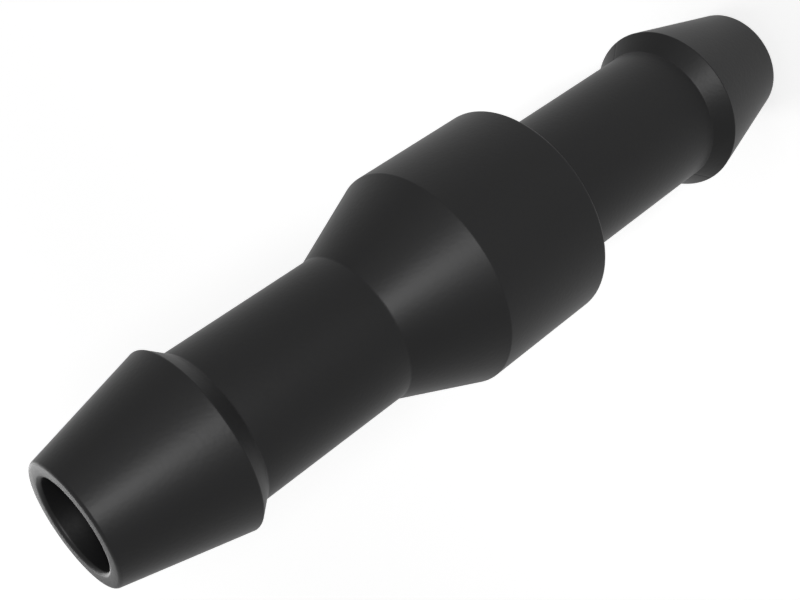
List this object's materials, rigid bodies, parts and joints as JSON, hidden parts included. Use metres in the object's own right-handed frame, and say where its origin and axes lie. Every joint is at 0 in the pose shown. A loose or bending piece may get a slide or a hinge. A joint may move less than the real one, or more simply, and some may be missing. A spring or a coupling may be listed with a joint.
{
  "type": "non-return valve",
  "caption": "Straight in-line non-return valve with a barbed hose tail at each end, a stepped round body and a spring-loaded poppet inside.",
  "frame": {"origin": "centre of the outlet tip's face, on which the valve stands", "axes": "+Z along the flow axis, from the outlet up to the inlet; the flow runs towards -Z"},
  "size_m": [0.015, 0.015, 0.0594],
  "materials": {
    "shell_plastic": "black moulded plastic, satin with a soft broad highlight",
    "inner_plastic": "undyed moulded plastic, ivory and slightly translucent",
    "seal_rubber": "black moulded rubber",
    "spring_steel": "bright drawn stainless wire"
  },
  "bodies": {
    "shell": {"inlet_housing": "shell_plastic", "outlet_cap": "shell_plastic", "body_seal": "seal_rubber", "stem_guide": "inner_plastic", "spring": "spring_steel"},
    "poppet": {"poppet": "inner_plastic", "seat_seal": "seal_rubber"}
  },
  "joints": [
    {"name": "poppet_slide", "type": "slide", "parent": "shell", "child": "poppet", "axis": [0, 0, -1], "range_m": [0, 0.003], "stiffness_N_per_m": 264, "springref_m": -0.002, "deforming": ["spring"]}
  ]
}
